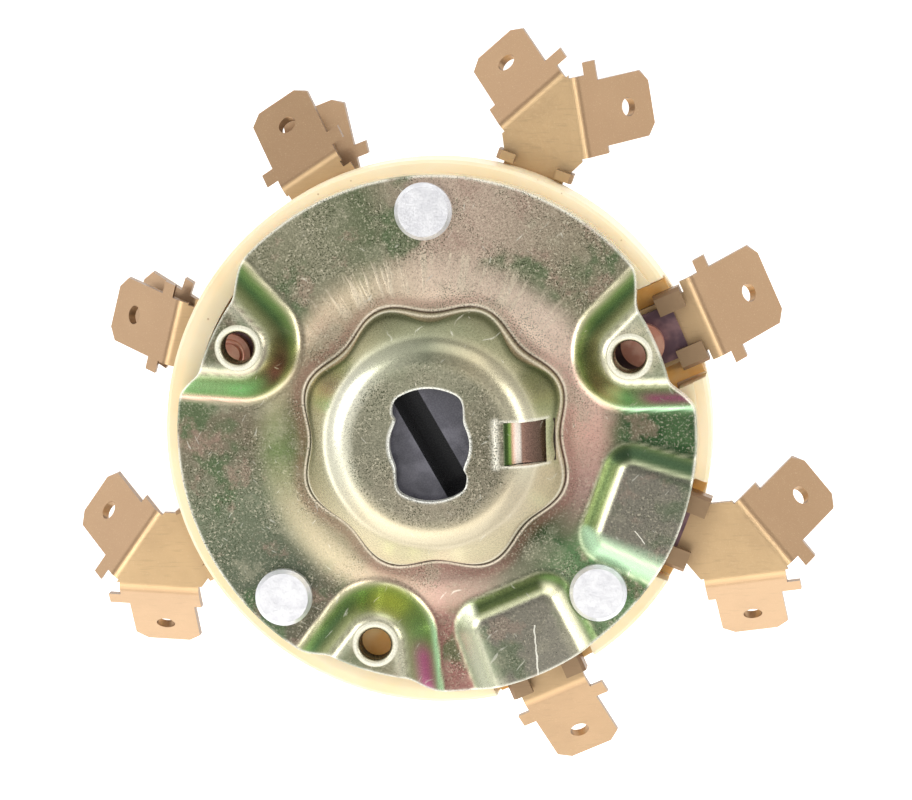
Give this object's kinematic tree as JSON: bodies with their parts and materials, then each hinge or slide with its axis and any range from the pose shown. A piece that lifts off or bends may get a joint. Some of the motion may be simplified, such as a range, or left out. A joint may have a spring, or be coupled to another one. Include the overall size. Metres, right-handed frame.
{
  "type": "ignition switch",
  "caption": "Round rotary ignition switch with a pressed steel cover, lobed detent cup, keyhole, moulded base and folded blade terminals.",
  "frame": {"origin": "centre of the flat rear face of the base", "axes": "+Z along the key axis, out of the keyhole; +Y towards the top of the upright key slot; +X towards the lanced bridge on the cup"},
  "size_m": [0.0734, 0.07, 0.0235],
  "materials": {
    "moulding": "cream thermoset moulding, satin",
    "phenolic": "amber phenolic sheet",
    "plated_steel": "yellow chromate over zinc, iridescent",
    "rivet_aluminium": "satin aluminium",
    "terminal_brass": "satin brass",
    "copper": "plain copper",
    "strip_metal": "tarnished copper alloy",
    "rotor_black": "black moulding, gloss",
    "carrier_brown": "brown phenolic moulding",
    "spring_steel": "spring wire",
    "ball_steel": "polished ball"
  },
  "bodies": {
    "housing": {"base": "moulding", "insulator_plate": "phenolic", "cover_plate": "plated_steel", "cover_rivets": "rivet_aluminium", "terminal_1": "terminal_brass", "terminal_2": "terminal_brass", "terminal_3": "terminal_brass", "terminal_3_rear": "terminal_brass", "terminal_4": "terminal_brass", "terminal_4_rear": "terminal_brass", "terminal_5": "terminal_brass", "terminal_6": "terminal_brass", "terminal_7": "terminal_brass", "terminal_rivets": "copper", "contact_strip_1": "strip_metal", "contact_strip_2": "strip_metal", "contact_strip_3": "strip_metal", "contact_strip_4": "strip_metal", "contact_strip_5": "strip_metal", "contact_strip_6": "strip_metal", "contact_strip_7": "strip_metal", "contact_studs": "copper"},
    "rotor": {"rotor": "rotor_black", "contact_carrier": "carrier_brown", "bridge_spring": "spring_steel", "detent_spring_a": "spring_steel", "detent_spring_b": "spring_steel"},
    "bridge": {"contact_bridge": "copper"},
    "ball_a": {"detent_ball_a": "ball_steel"},
    "ball_b": {"detent_ball_b": "ball_steel"}
  },
  "joints": [
    {"name": "key_turn", "type": "hinge", "parent": "housing", "child": "rotor", "pos_m": [0, 0, 0.015], "axis": [0, 0, 1], "range_deg": [-90, 45]},
    {"name": "bridge_lift", "type": "slide", "parent": "rotor", "child": "bridge", "axis": [0, 0, 1], "range_m": [0, 0.0004], "stiffness_N_per_m": 400, "springref_m": -0.002, "deforming": ["bridge_spring"]},
    {"name": "ball_a_slide", "type": "slide", "parent": "rotor", "child": "ball_a", "axis": [0.9239, 0.3827, 0], "range_m": [0, 0.0013]},
    {"name": "ball_b_slide", "type": "slide", "parent": "rotor", "child": "ball_b", "axis": [-0.9239, -0.3827, 0], "range_m": [0, 0.0013]}
  ]
}
